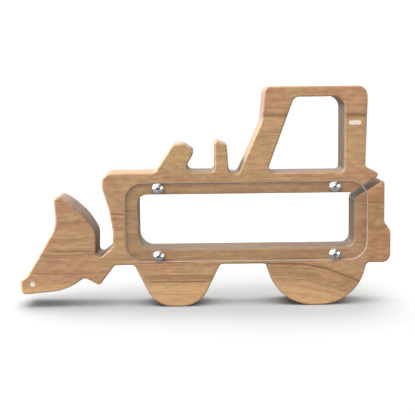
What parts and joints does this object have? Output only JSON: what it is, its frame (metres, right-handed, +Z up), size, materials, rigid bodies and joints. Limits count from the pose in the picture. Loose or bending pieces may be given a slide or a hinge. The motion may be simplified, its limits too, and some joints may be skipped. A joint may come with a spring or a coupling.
{
  "type": "wooden toy loader coin bank",
  "caption": "Thick wooden board cut in the outline of a wheel loader, with a coin slot and a see-through coin cavity closed by screwed clear panels.",
  "frame": {"origin": "on the ground, below the middle of the overall length and of the board's thickness", "axes": "+X from the bucket to the rear, +Y from the front face to the back face, +Z up from the ground the wheels stand on"},
  "size_m": [0.27, 0.0406, 0.1595],
  "materials": {
    "board_wood": "oiled, sanded smooth, straight grain along X",
    "inlay_wood": "pale, sanded flush",
    "clear_acrylic": "clear and polished",
    "zinc_steel": "bright zinc plated"
  },
  "bodies": {
    "loader_body": {"body_board": "board_wood", "bucket_pin": "inlay_wood", "door_handle": "inlay_wood"},
    "front_panel": {"front_window_panel": "clear_acrylic"},
    "rear_panel": {"rear_window_panel": "clear_acrylic"},
    "front_screw_upper_left": {"front_screw_upper_left": "zinc_steel"},
    "front_screw_upper_right": {"front_screw_upper_right": "zinc_steel"},
    "front_screw_lower_left": {"front_screw_lower_left": "zinc_steel"},
    "front_screw_lower_right": {"front_screw_lower_right": "zinc_steel"},
    "rear_screw_upper_left": {"rear_screw_upper_left": "zinc_steel"},
    "rear_screw_upper_right": {"rear_screw_upper_right": "zinc_steel"},
    "rear_screw_lower_left": {"rear_screw_lower_left": "zinc_steel"},
    "rear_screw_lower_right": {"rear_screw_lower_right": "zinc_steel"}
  },
  "joints": [
    {"name": "front_panel_removal", "type": "slide", "parent": "loader_body", "child": "front_panel", "axis": [0, -1, 0], "range_m": [0, 0.05]},
    {"name": "rear_panel_removal", "type": "slide", "parent": "loader_body", "child": "rear_panel", "axis": [0, 1, 0], "range_m": [0, 0.05]},
    {"name": "front_screw_upper_left_removal", "type": "slide", "parent": "front_panel", "child": "front_screw_upper_left", "axis": [0, -1, 0], "range_m": [0, 0.02]},
    {"name": "front_screw_upper_right_removal", "type": "slide", "parent": "front_panel", "child": "front_screw_upper_right", "axis": [0, -1, 0], "range_m": [0, 0.02]},
    {"name": "front_screw_lower_left_removal", "type": "slide", "parent": "front_panel", "child": "front_screw_lower_left", "axis": [0, -1, 0], "range_m": [0, 0.02]},
    {"name": "front_screw_lower_right_removal", "type": "slide", "parent": "front_panel", "child": "front_screw_lower_right", "axis": [0, -1, 0], "range_m": [0, 0.02]},
    {"name": "rear_screw_upper_left_removal", "type": "slide", "parent": "rear_panel", "child": "rear_screw_upper_left", "axis": [0, 1, 0], "range_m": [0, 0.02]},
    {"name": "rear_screw_upper_right_removal", "type": "slide", "parent": "rear_panel", "child": "rear_screw_upper_right", "axis": [0, 1, 0], "range_m": [0, 0.02]},
    {"name": "rear_screw_lower_left_removal", "type": "slide", "parent": "rear_panel", "child": "rear_screw_lower_left", "axis": [0, 1, 0], "range_m": [0, 0.02]},
    {"name": "rear_screw_lower_right_removal", "type": "slide", "parent": "rear_panel", "child": "rear_screw_lower_right", "axis": [0, 1, 0], "range_m": [0, 0.02]}
  ]
}
